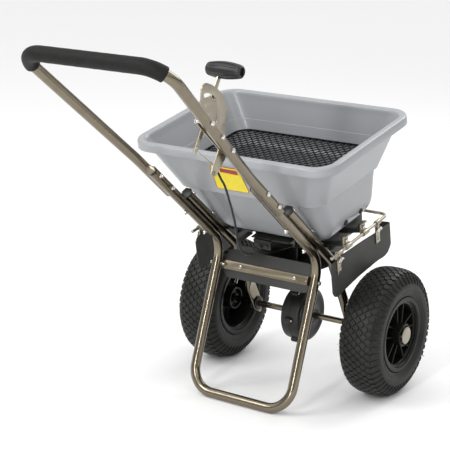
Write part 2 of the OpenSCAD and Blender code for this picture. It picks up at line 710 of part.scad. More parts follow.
ferrule = [[143.4, -638, 686], [143.4, -620, 668.6]];
lever_end = [138.2, -700.5, 730.3];
module cable_anchor() color("#b9b2a2") machine() difference() {
    union() {
        translate([quad_x - 3.2, 0, 0]) rotate([90, 0, 90]) linear_extrude(3)
            polygon([[-626, 716], [-621, 727], [-608, 728], [-600, 718], [-598, 695],
                [-625, 668], [-633, 661], [-645, 659], [-652, 669], [-648, 679]]);
        bar(ferrule[0], ferrule[1], 4.5);
    }
    bar(ferrule[0] * 2 - ferrule[1], ferrule[1] * 2 - ferrule[0], 1.2);
    translate([quad_x, bend[1] + up[1] * quad_up[2], bend[2] + up[2] * quad_up[2]])
        rotate([0, 90, 0]) cylinder(h = 40, r = 3.2, center = true);
}
module cable_wire() color("#b9b2a2") machine() bar(lever_end, ferrule[0] + [0, -0.5, 0.5], 1);

// the cable's own route from the anchor down behind the hopper to the shutter
cable = [[143.4, -619, 667.6], [142, -603, 648], [139, -585, 631], [131, -559, 602],
    [116, -513, 545], [105, -485, 508], [95, -461, 473], [87, -439, 450], [77, -411, 430],
    [63, -368, 415], [46, -314, 404], [28, -270, 400], [6, -240, 392], [-15, -222, 384],
    [-24, -208, 378]];
function spline(p, i, t) = let (a = p[max(i - 1, 0)], b = p[i], c = p[i + 1],
    d = p[min(i + 2, len(p) - 1)]) 0.5 * (2 * b + (c - a) * t
    + (2 * a - 5 * b + 4 * c - d) * t * t + (3 * b - a - 3 * c + d) * t * t * t);
module cord(p, r, sides = 8, steps = 4) {
    q = [for (i = [0:len(p) - 2], k = [0:steps - 1]) spline(p, i, k / steps),
        p[len(p) - 1]];
    n = len(q);
    ring_points = [for (i = [0:n - 1]) let (t = unit(q[min(i + 1, n - 1)] - q[max(i - 1, 0)]),
        a = unit(cross(t, [1, 0.3, 0.2])), b = cross(t, a))
        for (k = [0:sides - 1]) q[i] + (a * cos(360 * k / sides) + b * sin(360 * k / sides)) * r];
    polyhedron(ring_points, concat([[for (k = [0:sides - 1]) k]],
        [for (i = [0:n - 2], k = [0:sides - 1]) let (m = (k + 1) % sides)
            [i * sides + k, (i + 1) * sides + k, (i + 1) * sides + m, i * sides + m]],
        [[for (k = [sides - 1:-1:0]) (n - 1) * sides + k]]));
}
module cable_outer() color("#1c1c1a") machine() cord(cable, 3);

// plain panel on the rear face of the hopper
module decal() color("#d8c92d") leaning() translate([-26, -211, ledge_up])
    rotate([180 - atan2(131, 58), 0, 0]) translate([0, 57, 0.2])
        linear_extrude(0.6) rounded([92, 78], 8);

handle_tube();
handle_grip();
stand_tube();
stand_end_caps();
strut_left();
strut_right();
strut_end_caps();
handle_bolts();
strut_bolts();
shield_bar();
rear_shield();
shield_bolts();
axle_bushes();
axle();
axle_gear();
gearbox_left();
gearbox_right();
gearbox_screws();
tyre_right();
rim_right();
hub_cap_right();
valve_right();
drive_pin();
tyre_left();
rim_left();
hub_cap_left();
valve_left();
hopper();
hopper_caps();
chassis();
shutter();
shutter_link();
cable_stop();
screen();
spinner_disc();
spinner_shaft();
pinion();
agitator();
deflector_rod();
rod_arms();
rod_clamps();
clamp_bolts();
shield_left();
hangers_left();
wing_nuts_left();
shield_right();
hangers_right();
wing_nuts_right();
quadrant();
quadrant_bolts();
lever();
lever_knob();
lever_pivot();
cable_anchor();
cable_wire();
cable_outer();
decal();
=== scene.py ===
"""Looks of a walk-behind broadcast spreader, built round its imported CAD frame."""
import json
import math
import random

import bmesh
import bpy
import numpy as np
from mathutils import Matrix, Vector

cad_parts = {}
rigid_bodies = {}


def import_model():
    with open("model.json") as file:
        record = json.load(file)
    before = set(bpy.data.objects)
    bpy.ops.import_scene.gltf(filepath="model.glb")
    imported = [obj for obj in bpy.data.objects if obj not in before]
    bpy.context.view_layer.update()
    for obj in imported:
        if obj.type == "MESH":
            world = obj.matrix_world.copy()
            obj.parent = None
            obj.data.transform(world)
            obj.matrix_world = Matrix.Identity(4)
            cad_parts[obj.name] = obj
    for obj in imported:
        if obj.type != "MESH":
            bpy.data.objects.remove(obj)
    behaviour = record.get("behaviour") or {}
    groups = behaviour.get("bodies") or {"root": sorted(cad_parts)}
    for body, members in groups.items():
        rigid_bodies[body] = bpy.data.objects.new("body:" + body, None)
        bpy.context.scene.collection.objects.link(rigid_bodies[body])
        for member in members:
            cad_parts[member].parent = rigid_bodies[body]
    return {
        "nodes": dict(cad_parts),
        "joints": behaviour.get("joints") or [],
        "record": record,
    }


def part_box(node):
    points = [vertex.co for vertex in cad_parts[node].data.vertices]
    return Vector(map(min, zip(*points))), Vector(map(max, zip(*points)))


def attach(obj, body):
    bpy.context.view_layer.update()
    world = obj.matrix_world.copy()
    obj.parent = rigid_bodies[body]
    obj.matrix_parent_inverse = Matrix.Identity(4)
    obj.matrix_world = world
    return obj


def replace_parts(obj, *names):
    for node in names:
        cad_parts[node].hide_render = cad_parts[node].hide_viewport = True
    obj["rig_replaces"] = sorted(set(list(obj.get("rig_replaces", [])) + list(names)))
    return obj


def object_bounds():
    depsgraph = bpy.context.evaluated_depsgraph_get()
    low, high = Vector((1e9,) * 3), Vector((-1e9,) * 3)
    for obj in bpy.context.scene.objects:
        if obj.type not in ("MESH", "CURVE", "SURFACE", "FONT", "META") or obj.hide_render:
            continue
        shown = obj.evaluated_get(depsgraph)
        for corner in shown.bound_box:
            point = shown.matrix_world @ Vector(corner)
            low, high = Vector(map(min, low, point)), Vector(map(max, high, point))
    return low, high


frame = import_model()
cad_low, cad_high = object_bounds()
random.seed(7)

# ---------------------------------------------------------------- places

MM = 0.001
UV_STEP = MM * 8                     # of texture space to a mm along a tube
record = frame["record"]
BODY = {node: body for body, nodes in record["behaviour"]["bodies"].items() for node in nodes}
SLOT = {part["node"]: part["material_slot"] for part in record["subparts"]}
axes = {joint["name"]: Vector(joint["axis"]) for joint in frame["joints"]}
ACROSS = Vector((1, 0, 0))
ALONG = axes["shutter_slide"]        # forwards along the leaning hopper
UPRIGHT = axes["screen_lift"]        # up along it
AXLE = sum(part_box("axle"), Vector()) / 2
TUBE = 12.5                          # radius of the frame tubes, mm
STAND_X = 145
FOOT = Vector((0, -298, TUBE))       # of the stand, on the ground
SLOPE = math.radians(38)             # of the handle above the horizontal
UP_SLOPE = Vector((0, -math.cos(SLOPE), math.sin(SLOPE)))
OFF_SLOPE = Vector((0, math.sin(SLOPE), math.cos(SLOPE)))
BEND = Vector((0, -175, 373))        # where the stand tube turns up into the slope
HANDLE_UP, CAP_UP = 266, 374         # up the slope: the handle's ends and the stand's
SPREAD_UP, GRIP_UP = 430, 891        # up the slope: where the handle's legs spread, and its cross bar
HANDLE_X = STAND_X + 11.5
HANDLE_HALF = 193
HANDLE_CORNER = 60                   # radius of its corners
GRIP = 17.5                          # radius of the grip
WHEEL_X = 245


def machine(point):
    """A place given in mm from the ground below the axle."""
    return Vector(point) * MM + Vector((0, AXLE.y, 0))


def leaning(point):
    """A place given in mm from the axle along the hopper's own axes."""
    x, v, w = point
    return AXLE + (ACROSS * x + ALONG * v + UPRIGHT * w) * MM


def wheel(side):
    """Places given in mm as distance outwards from the wheel's middle, and y and z from the axle."""
    return lambda p: AXLE + Vector((side * (WHEEL_X + p[0]), p[1], p[2])) * MM


# ---------------------------------------------------------------- materials

def look(name, colour, rough, metal=0.0, mottle=0.08, mottle_scale=40, grain=0.15, grain_scale=900,
         rough_swing=0.08, streaks=False, coat=0.0, dust=None, specular=0.5):
    """A surface whose colour, roughness and fine relief vary with noise in the object's own space."""
    made = bpy.data.materials.new(name)
    made.use_nodes = True
    nodes, links = made.node_tree.nodes, made.node_tree.links
    shader = nodes["Principled BSDF"]
    shader.inputs["Metallic"].default_value = metal
    shader.inputs["Coat Weight"].default_value = coat
    shader.inputs["Specular IOR Level"].default_value = specular
    place = nodes.new("ShaderNodeTexCoord")
    source = place.outputs["Object"]
    if streaks:
        stretch = nodes.new("ShaderNodeMapping")
        stretch.inputs["Scale"].default_value = (160, 5, 1)
        links.new(place.outputs["UV"], stretch.inputs["Vector"])
        streak = nodes.new("ShaderNodeTexNoise")
        streak.inputs["Scale"].default_value = 1
        streak.inputs["Detail"].default_value = 4
        links.new(stretch.outputs["Vector"], streak.inputs["Vector"])

    def noise(scale, detail):
        node = nodes.new("ShaderNodeTexNoise")
        node.inputs["Scale"].default_value = scale
        node.inputs["Detail"].default_value = detail
        links.new(source, node.inputs["Vector"])
        return node.outputs["Fac"]

    def spread(value, low, high):
        node = nodes.new("ShaderNodeMapRange")
        node.inputs["From Min"].default_value = 0.3
        node.inputs["From Max"].default_value = 0.7
        node.inputs["To Min"].default_value = low
        node.inputs["To Max"].default_value = high
        links.new(value, node.inputs["Value"])
        return node.outputs["Result"]

    patches = noise(mottle_scale, 5)
    tint = nodes.new("ShaderNodeMix")
    tint.data_type = "RGBA"
    tint.inputs["A"].default_value = (*[c * (1 - mottle) for c in colour], 1)
    tint.inputs["B"].default_value = (*[min(1, c * (1 + mottle)) for c in (dust or colour)], 1)
    links.new(spread(patches, 0, 1), tint.inputs["Factor"])
    links.new(tint.outputs["Result"], shader.inputs["Base Color"])
    fine = streak.outputs["Fac"] if streaks else noise(grain_scale, 3)
    links.new(spread(fine, rough - rough_swing, rough + rough_swing), shader.inputs["Roughness"])
    bump = nodes.new("ShaderNodeBump")
    bump.inputs["Strength"].default_value = grain
    bump.inputs["Distance"].default_value = 0.0004
    links.new(fine, bump.inputs["Height"])
    links.new(bump.outputs["Normal"], shader.inputs["Normal"])
    return made


STEEL = look("stainless_tube", (0.215, 0.185, 0.138), 0.2, metal=1, mottle=0.06, grain=0.05,
             rough_swing=0.06, streaks=True)
BAR_STEEL = look("stainless_bar", (0.185, 0.158, 0.115), 0.42, metal=1, mottle=0.08, grain=0.1)
PLATE = look("stainless_plate", (0.37, 0.335, 0.265), 0.36, metal=1, mottle=0.08, grain=0.08,
             grain_scale=600)
ZINC = look("fasteners", (0.60, 0.58, 0.54), 0.22, metal=1, mottle=0.10, grain=0.05)
PLASTIC = look("black_plastic", (0.009, 0.009, 0.008), 0.40, mottle=0.25, grain=0.12, specular=0.35,
               grain_scale=1400, dust=(0.014, 0.014, 0.012))
RIM = look("rim_plastic", (0.007, 0.007, 0.006), 0.3, mottle=0.2, grain=0.08, specular=0.16)
MESH = look("screen_plastic", (0.007, 0.007, 0.007), 0.35, mottle=0.2, grain=0.08, specular=0.12)
KNOB = look("knob_plastic", (0.009, 0.009, 0.009), 0.42, mottle=0.2, grain=0.2, specular=0.45)
SHIELD = look("shield_plastic", (0.028, 0.028, 0.026), 0.55, mottle=0.12, mottle_scale=14, grain=0.35,
              grain_scale=1600, dust=(0.036, 0.035, 0.032), specular=0.35)
RUBBER = look("tyre_rubber", (0.0065, 0.0065, 0.006), 0.5, mottle=0.2, mottle_scale=25, grain=0.3,
              grain_scale=1100, dust=(0.012, 0.0116, 0.010), specular=0.3)
FOAM = look("foam", (0.010, 0.010, 0.0095), 0.55, mottle=0.15, mottle_scale=90, grain=0.6,
            grain_scale=2200, specular=0.14)
HOPPER = look("hopper_plastic", (0.265, 0.274, 0.285), 0.34, mottle=0.035, mottle_scale=9, grain=0.10,
              grain_scale=700, rough_swing=0.05, coat=0.15)
GEAR = look("gear_steel", (0.30, 0.30, 0.29), 0.4, metal=1)
SHEATH = look("cable_sheath", (0.006, 0.006, 0.006), 0.45, mottle=0.2, grain=0.1, specular=0.25)
YELLOW = look("panel_yellow", (0.66, 0.54, 0.012), 0.45, mottle=0.10, mottle_scale=300, grain=0.05)
RED = look("panel_red", (0.26, 0.008, 0.012), 0.40, mottle=0.15, mottle_scale=200, grain=0.05)
LOOKS = {"stainless_tube": STEEL, "stainless_plate": PLATE, "fasteners": ZINC, "black_plastic": PLASTIC,
         "shield_plastic": SHIELD, "tyre": RUBBER, "gear_steel": GEAR, "foam": FOAM,
         "hopper_plastic": HOPPER, "cable_sheath": SHEATH, "decal": YELLOW}


# ---------------------------------------------------------------- mesh tools

class Shape:
    """Collects skins of points, in mm, and turns them into one piece."""

    def __init__(self, place):
        self.place, self.points, self.faces, self.uvs, self.shades = place, [], [], [], []

    def skin(self, rows, start=False, end=False, shade=0, lengths=None):
        """Faces between closed rows of points; start and end put a face on the first and last."""
        base, n = len(self.points), len(rows[0])
        for row in rows:
            self.points += [Vector(p) for p in row]
        u = lengths or list(range(len(rows)))
        for i in range(len(rows) - 1):
            for j in range(n):
                k = (j + 1) % n
                self.faces.append((base + i * n + j, base + i * n + k,
                                   base + (i + 1) * n + k, base + (i + 1) * n + j))
                self.uvs.append([(j / n, u[i]), ((j + 1) / n, u[i]), ((j + 1) / n, u[i + 1]),
                                 (j / n, u[i + 1])])
                self.shades.append(shade)
        for closed, row, turn in ((start, 0, -1), (end, len(rows) - 1, 1)):
            if closed:
                self.faces.append(tuple(base + row * n + j for j in range(n))[::turn])
                self.uvs.append([(0, 0)] * n)
                self.shades.append(shade)

    def lathe(self, profile, turns, closed=True):
        """Turns (outwards, radius) points round the local X axis."""
        rows = [[(x, r * math.cos(a), r * math.sin(a)) for a in np.linspace(0, 2 * math.pi, turns, False)]
                for x, r in profile]
        self.skin(rows + rows[:1] if closed else rows, start=not closed, end=not closed)

    def block(self, outline, low, high, edge):
        """A prism with softened top edges; outline is (a, b) points, low and high map (a, b) to space."""
        middle = np.mean(outline, axis=0)

        def shrink(by):
            out = []
            for p in outline:
                d = np.array(p) - middle
                out.append(middle + d * max(0.1, 1 - by / max(1e-6, np.linalg.norm(d))))
            return out
        rows = [[low(p) for p in outline], [high(p, -edge) for p in outline],
                [high(p, 0) for p in shrink(edge)]]
        self.skin(rows, start=True, end=True)

    def tube(self, path, radius, sides=24, section=None):
        """A swept tube; section(i, length) may give other (a, b) points than a circle's."""
        points = [Vector(p) for p in path]
        lengths = [0.0]
        for a, b in zip(points, points[1:]):
            lengths.append(lengths[-1] + (b - a).length)
        ahead = [(points[min(i + 1, len(points) - 1)] - points[max(i - 1, 0)]).normalized()
                 for i in range(len(points))]
        side = ahead[0].cross(Vector((0, 0.31, 0.95))).normalized()
        rows = []
        for i, (point, t) in enumerate(zip(points, ahead)):
            side = (side - t * side.dot(t)).normalized()
            other = t.cross(side)
            ring = section(i, lengths[i]) if section else circle(radius, sides)
            rows.append([point + side * a + other * b for a, b in ring])
        self.skin(rows, start=True, end=True, lengths=[x * UV_STEP for x in lengths])

    def piece(self, name, node, looks, sharp=38):
        """Makes the piece that stands for a CAD node."""
        mesh = bpy.data.meshes.new(name)
        mesh.from_pydata([self.place(p) for p in self.points], [], self.faces)
        layer = mesh.uv_layers.new(name="along")
        flat = [uv for face in self.uvs for uv in face]
        layer.data.foreach_set("uv", np.array(flat, np.float32).ravel())
        mesh.polygons.foreach_set("material_index", self.shades)
        for material in looks if isinstance(looks, (list, tuple)) else [looks]:
            mesh.materials.append(material)
        obj = bpy.data.objects.new(name, mesh)
        return settle(obj, node, sharp)


def settle(obj, node, sharp):
    """Welds, faces outwards and smooths a new mesh, then puts it in its node's place."""
    mesh = obj.data
    work = bmesh.new()
    work.from_mesh(mesh)
    bmesh.ops.remove_doubles(work, verts=work.verts, dist=2e-6)
    bmesh.ops.recalc_face_normals(work, faces=work.faces)
    work.to_mesh(mesh)
    work.free()
    mesh.polygons.foreach_set("use_smooth", [True] * len(mesh.polygons))
    mesh.set_sharp_from_angle(angle=math.radians(sharp))
    bpy.context.scene.collection.objects.link(obj)
    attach(obj, BODY[node])
    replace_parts(obj, node)
    return obj


def refined(node, edge, material):
    """The CAD node's own shape with its edges rounded, as a new piece."""
    source = frame["nodes"][node]
    mesh = source.data.copy()
    mesh.materials.clear()
    mesh.materials.append(material)
    if "custom_normal" in mesh.attributes:
        mesh.attributes.remove(mesh.attributes["custom_normal"])
    work = bmesh.new()
    work.from_mesh(mesh)
    bmesh.ops.remove_doubles(work, verts=work.verts, dist=1e-6)
    bmesh.ops.dissolve_limit(work, angle_limit=math.radians(1), verts=work.verts, edges=work.edges)
    keen = [e for e in work.edges if len(e.link_faces) == 2 and e.calc_face_angle(0) > math.radians(32)]
    bmesh.ops.bevel(work, geom=keen, offset=edge * MM, segments=2, affect="EDGES", profile=0.5,
                    clamp_overlap=True)
    for face in work.faces:
        face.material_index = 0
    work.to_mesh(mesh)
    work.free()
    return settle(bpy.data.objects.new(node + ".fine", mesh), node, 50)


def circle(radius, sides=24):
    """Points (a, b) of a regular ring."""
    return [(radius * math.cos(a), radius * math.sin(a)) for a in np.linspace(0, 2 * math.pi, sides, False)]


def bent_path(corners, radii, step=5, longest=1e9):
    """Straights between the corners joined by arcs, with points no more than longest apart."""
    corners = [Vector(c) for c in corners]
    path = [corners[0]]
    for a, b, c, r in zip(corners, corners[1:], corners[2:], radii):
        u, w = (b - a).normalized(), (c - b).normalized()
        turn = u.angle(w)
        side = (w - u * w.dot(u)).normalized()
        centre = b - u * r * math.tan(turn / 2) + side * r
        count = max(4, int(turn * r / step))
        path += [centre - side * r * math.cos(turn * k / count) + u * r * math.sin(turn * k / count)
                 for k in range(count + 1)]
    path.append(corners[-1])
    full = [path[0]]
    for a, b in zip(path, path[1:]):
        count = max(1, math.ceil((b - a).length / longest))
        full += [a.lerp(b, k / count) for k in range(1, count + 1)]
    return full


def smooth(t):
    """From 0 to 1 as t goes from 0 to 1, level at both ends."""
    t = min(1.0, max(0.0, t))
    return t * t * (3 - 2 * t)


def spline(points, steps):
    """Catmull-Rom through the points."""
    p = [np.array(q, float) for q in points]
    p = [2 * p[0] - p[1], *p, 2 * p[-1] - p[-2]]
    out = []
    for a, b, c, d in zip(p, p[1:], p[2:], p[3:]):
        for t in np.arange(steps) / steps:
            out.append(0.5 * (2 * b + (c - a) * t + (2 * a - 5 * b + 4 * c - d) * t ** 2
                              + (3 * b - a - 3 * c + d) * t ** 3))
    return [*out, p[-2]]


# ---------------------------------------------------------------- frame tubes

def arm(side, up, off=0.0):
    """A point beside the slope on the left (-1) or right (1)."""
    return BEND + UP_SLOPE * up + OFF_SLOPE * off + ACROSS * side * STAND_X


def handle():
    """One bent tube, crushed round the stand's tubes at its two ends."""
    slope = [BEND + UP_SLOPE * s + ACROSS * x for s, x in
             ((HANDLE_UP, -HANDLE_X), (SPREAD_UP, -HANDLE_X), (GRIP_UP, -HANDLE_HALF),
              (GRIP_UP, HANDLE_HALF), (SPREAD_UP, HANDLE_X), (HANDLE_UP, HANDLE_X))]
    radii = [300, HANDLE_CORNER, HANDLE_CORNER, 300]
    made = Shape(machine)
    made.tube(bent_path(slope, radii, longest=6), TUBE, sides=28)
    for i, p in enumerate(made.points):
        up = (p - BEND).dot(UP_SLOPE)
        beside = arm(math.copysign(1, p.x), up)
        away = p - beside
        keep = (TUBE + 0.2) * (1 - smooth((up - CAP_UP - 2) / 22))
        if away.length < keep:
            made.points[i] = beside + away.normalized() * keep
    made.piece("handle", "handle_tube", STEEL)


def grip_corner(side, degrees):
    """Points round a corner of the handle, from the cross bar towards the leg."""
    across = ACROSS * side
    corner = BEND + UP_SLOPE * GRIP_UP + across * HANDLE_HALF
    leg = (BEND + UP_SLOPE * SPREAD_UP + across * HANDLE_X - corner).normalized()
    inward = (leg - across * leg.dot(across)).normalized()
    r = HANDLE_CORNER
    centre = corner - across * r * math.tan(across.angle(leg) / 2) + inward * r
    return [centre - inward * r * math.cos(a) + across * r * math.sin(a)
            for a in np.linspace(0, math.radians(degrees), 16)]


def grip():
    """Foam over the cross bar and round its corners, with rolled ends and a slightly uneven skin."""
    left, right = grip_corner(-1, 84), grip_corner(1, 55)
    bar = [left[0].lerp(right[0], t) for t in np.linspace(0, 1, 62)[1:-1]]
    path = left[::-1] + bar + right
    total = sum((b - a).length for a, b in zip(path, path[1:]))

    def section(i, length):
        near = min(length, total - length)
        radius = GRIP - 2.6 * (1 - math.sqrt(max(0, 1 - (1 - min(1, near / 2.5)) ** 2)))
        return circle(radius + 0.12 * math.sin(length * 0.21) * math.sin(length * 0.047), 32)
    ends = [path[0].lerp(path[1], t) for t in (0, 0.12, 0.3, 0.6)]
    tail = [path[-1].lerp(path[-2], t) for t in (0.6, 0.3, 0.12, 0)]
    made = Shape(machine)
    made.tube(ends + path[1:-1] + tail, GRIP, section=section)
    made.piece("grip", "handle_grip", FOAM)


def stand():
    """One bent tube: both upper arms, both legs and the foot between them."""
    corners = [arm(-1, CAP_UP), arm(-1, 0), FOOT - ACROSS * STAND_X, FOOT + ACROSS * STAND_X,
               arm(1, 0), arm(1, CAP_UP)]
    made = Shape(machine)
    made.tube(bent_path(corners, [70, 62, 62, 70], longest=40), TUBE, sides=28)
    made.piece("stand", "stand_tube", STEEL)


def strut(side, name):
    """Round above, pressed flat round the axle bush, with a pointed end."""
    leg = Vector((0, -0.507, 0.862))
    axle = Vector((side * STAND_X, 0, 165))
    bend = Vector((side * STAND_X, -112, 355.6))
    flat_from, flat_to, taper, tip = 92, 56, -8, -32     # places along the leg from the axle
    half_wide, half_thick, point = 18, 4.4, 3            # of the flat end
    corners = [arm(side, 212, 2 * TUBE + 0.05), bend, axle + leg * tip]
    path = bent_path(corners, [70], longest=5)
    rows, lengths = [], []
    run = 0.0
    for i, p in enumerate(path):
        t = (path[min(i + 1, len(path) - 1)] - path[max(i - 1, 0)]).normalized()
        other = t.cross(ACROSS).normalized()
        up = (p - axle).dot(leg) if i > len(path) // 3 else 999
        press = smooth((flat_from - up) / (flat_from - flat_to))
        wide = TUBE + (half_wide - TUBE) * press
        if up < taper:
            wide = half_wide - (half_wide - point) * ((taper - up) / (taper - tip))
        thick = TUBE + (half_thick - TUBE) * press
        power = 1 - 0.62 * press
        ring = []
        for a in np.linspace(0, 2 * math.pi, 28, False):
            c, s = math.cos(a), math.sin(a)
            c = math.copysign(abs(c) ** power, c)
            s = math.copysign(abs(s) ** power, s)
            ring.append(p + ACROSS * thick * c + other * wide * s)
        rows.append(ring)
        run += (p - path[i - 1]).length if i else 0
        lengths.append(run * UV_STEP)
    made = Shape(machine)
    made.skin(rows, start=True, end=True, lengths=lengths)
    made.piece(name, name, STEEL)


handle()
grip()
stand()
strut(-1, "strut_left")
strut(1, "strut_right")


# ---------------------------------------------------------------- wheels

RADIUS = 165
TREAD_ROWS, TREAD_PITCH = 52, 11.5   # rows of blocks round the tyre, and mm between its columns
WHISKERS = 46
half_section = [(0, 161.3), (13, 161.0), (25, 159.5), (35.5, 156.2), (44, 150.2), (50.4, 141.8),
                (54.4, 131), (55.5, 121), (54, 111.5), (50.6, 103.5), (47.8, 98.6)]
curve = spline(half_section, 8)
curve_s = np.cumsum([0] + [np.linalg.norm(b - a) for a, b in zip(curve, curve[1:])])
curve_x, curve_r = np.array(curve)[:, 0], np.array(curve)[:, 1]


def on_tyre(s, turn, lift):
    """The point s mm from the crown along the tyre's section, turned about the axle, lifted off it."""
    a = abs(s)
    x, r = np.interp(a, curve_s, curve_x), np.interp(a, curve_s, curve_r)
    dx = np.interp(a + 1, curve_s, curve_x) - np.interp(a - 1, curve_s, curve_x)
    dr = np.interp(a + 1, curve_s, curve_r) - np.interp(a - 1, curve_s, curve_r)
    size = math.hypot(dx, dr)
    if a < 1:
        dx, dr, size = 1, 0, 1
    x, r = x - dr / size * lift, r + dx / size * lift
    return math.copysign(x, s) if s else 0.0, r * math.cos(turn), r * math.sin(turn)


def tread(made, s0, shift_by, outline, height):
    """One column of blocks round the tyre, s0 mm from its crown."""
    for k in range(TREAD_ROWS):
        turn0 = 2 * math.pi * (k + shift_by) / TREAD_ROWS

        def at(p, lift):
            return on_tyre(s0 + p[1], turn0 + p[0] / RADIUS, lift)
        made.block(outline, lambda p: at(p, -0.6), lambda p, drop: at(p, height + drop), edge=0.8)


def notched(half_a, half_b, cut):
    """A square block with its corners cut, as (round, across) points."""
    a, b = half_a - cut, half_b - cut
    return [(half_a, -b), (half_a, b), (a, half_b), (-a, half_b), (-half_a, b), (-half_a, -b),
            (-a, -half_b), (a, -half_b)]


def tyre(side, name):
    """Carcass with its beads, staggered blocks, shoulder lugs and the moulding's whiskers."""
    made = Shape(wheel(side))
    lined = [*zip(curve_x, curve_r), (46.4, 97.8), (43.8, 97.4), (43.8, 80.2)]
    rings = {112: -0.9, 106.5: 0.7}      # radius of a ring on the side wall, and how far it stands out
    whole = [(-x, r) for x, r in reversed(lined[1:])] + lined
    for i, (x, r) in enumerate(whole):
        for at, lift in rings.items():
            if abs(r - at) < 1.6:
                whole[i] = (x + math.copysign(lift, x), r)
    made.lathe(whole, turns=128)
    for column in range(-3, 4):
        tread(made, column * TREAD_PITCH, 0.5 * ((column + 1) % 2), notched(7.7, 7.3, 5.4), height=3.6)
    half_lug = [(5.6, -7), (6.6, 2), (5.2, 13), (3.6, 19)]
    lug = half_lug + [(-a, b) for a, b in reversed(half_lug)]
    for s in (-1, 1):
        tread(made, s * 49.5, 0, [(a, s * b) for a, b in lug], height=2.6)
    for _ in range(WHISKERS):
        turn, s = random.uniform(0, 2 * math.pi), random.choice((-1, 1)) * random.uniform(46, 58)
        foot = Vector(on_tyre(s, turn, 2))
        tip = Vector(on_tyre(s + random.uniform(-2, 2), turn + random.uniform(-0.01, 0.01), 8))
        made.tube([foot, foot.lerp(tip, 0.6), tip], 0.5, section=lambda i, _: circle(0.5 - 0.15 * i, 5))
    made.piece(name, name, RUBBER)


def rib(made, turn, across, x0, x1, r0, r1, thick):
    """A plate in a rim beside the spoke at turn, standing from x0 out to x1, with bevelled edges."""
    c, s = math.cos(turn), math.sin(turn)
    bevel = 0.9

    def at(x, r, a):
        return x, r * c - a * s, r * s + a * c
    rows = []
    for k in range(9):
        r = r0 + (r1 - r0) * k / 8
        a = across * (0.72 + 0.5 * k / 8)
        rows.append([at(x0, r, a - thick), at(x1 - bevel, r, a - thick), at(x1, r, a - thick + bevel),
                     at(x1, r, a + thick - bevel), at(x1 - bevel, r, a + thick), at(x0, r, a + thick)])
    made.skin(rows, start=True, end=True)


def rim(side, name):
    """Barrel with stepped flanges, hub sleeve, and five windows between pairs of ribs."""
    made = Shape(wheel(side))
    outer = [(44.1, 80.1), (44.1, 95.6), (45, 96.8), (47.2, 97), (48.8, 96.2), (49, 94.6), (49, 87.4),
             (47.8, 85.4), (44.6, 84.4), (42.6, 82.8), (41.6, 79.4), (39.8, 77.6), (34, 76.6)]
    made.lathe(outer + [(-x, r) for x, r in reversed(outer)], turns=96)
    made.lathe([(56, 28), (54.6, 29.6), (34, 30.4), (-33, 30), (-34, 29), (-34, 26), (-24, 24), (-24, 13),
                (-34, 12), (-34, 9), (50, 9), (50, 24), (55.4, 24.4)], turns=48)
    for k in range(5):
        start = 2 * math.pi * (k / 5) + math.pi / 2
        for across in (-14, 14):
            rib(made, start, across, 3, 40, 27, 81, 1.7)
        hub, edge = [], []
        for i in range(25):
            a = start + 2 * math.pi / 5 * i / 24
            c, s = math.cos(a), math.sin(a)
            spoke = abs(i - 12) > 7.5
            high = 76.8 if spoke else 37 + 6 * math.cos(math.pi * (i - 12) / 14)
            low = 77 - (4 + 18 * smooth((abs(i - 12) - 4) / 5))
            for rows, r0, r1 in ((hub, 27, high), (edge, low, 77)):
                rows.append([(x, r * c, r * s) for x, r in ((9, r1), (4, r1), (4, r0), (9, r0))])
        made.skin(hub, start=True, end=True)
        made.skin(edge, start=True, end=True)
    made.piece(name, name, RIM)


def hub_cap(side, name):
    """A low domed cap on the end of the axle."""
    made = Shape(wheel(side))
    made.lathe([(57.1, 0.01), (57.1, 21.3), (57.8, 21.8), (60, 21.8), (61, 21), (61.8, 18), (62.6, 9),
                (62.8, 0.01)], turns=48, closed=False)
    made.piece(name, name, PLATE)


for side, hand in ((-1, "left"), (1, "right")):
    tyre(side, "tyre_" + hand)
    rim(side, "rim_" + hand)
    hub_cap(side, "hub_cap_" + hand)


# ---------------------------------------------------------------- hopper

REAR, SIDES, CORNER = 56, 26, 10     # points along each stretch of the hopper's outline
LEDGE, UPPER_TALL = 416, 131         # height of the ledge between the tiers, and of the upper tier


def outline(half, rear, front, radius, groove=0.0):
    """A rounded rectangle as (x, v) points; groove hollows the rear wall beside each frame tube."""
    points = []
    for t in np.linspace(-1, 1, REAR):
        x = t * (half - radius)
        hollow = groove * min(1, max(0, (140 - abs(x)) / 16)) * smooth((abs(x) - 72) / 26)
        points.append((x, rear + hollow))
    for centre, start in (((half - radius, rear + radius), -90), ((half - radius, front - radius), 0),
                          ((-half + radius, front - radius), 90), ((-half + radius, rear + radius), 180)):
        arc = [math.radians(start + 90 * k / CORNER) for k in range(1, CORNER)]
        points += [(centre[0] + radius * math.cos(a), centre[1] + radius * math.sin(a)) for a in arc]
        if start == -90:
            points += [(half, y) for y in np.linspace(rear + radius, front - radius, SIDES)]
        elif start == 0:
            points += [(y, front) for y in np.linspace(half - radius, radius - half, REAR)]
        elif start == 90:
            points += [(-half, y) for y in np.linspace(front - radius, rear + radius, SIDES)]
    return points


# The lower tier's half width, rear, front and corner radius at heights above the axle
TIER = np.array([(272, 140, -107, 84, 30), (280, 152, -113, 91, 31), (290, 163, -120, 97, 32),
                 (300, 171.5, -127, 101, 33), (310, 178, -134, 103, 34), (325, 183.5, -145, 103.5, 35),
                 (345, 188.5, -159, 103.7, 36), (416, 206, -209, 104, 40)])


def up_tier(w):
    """How far up the upper tier a height is, from 0 to 1."""
    return (w - LEDGE) / UPPER_TALL


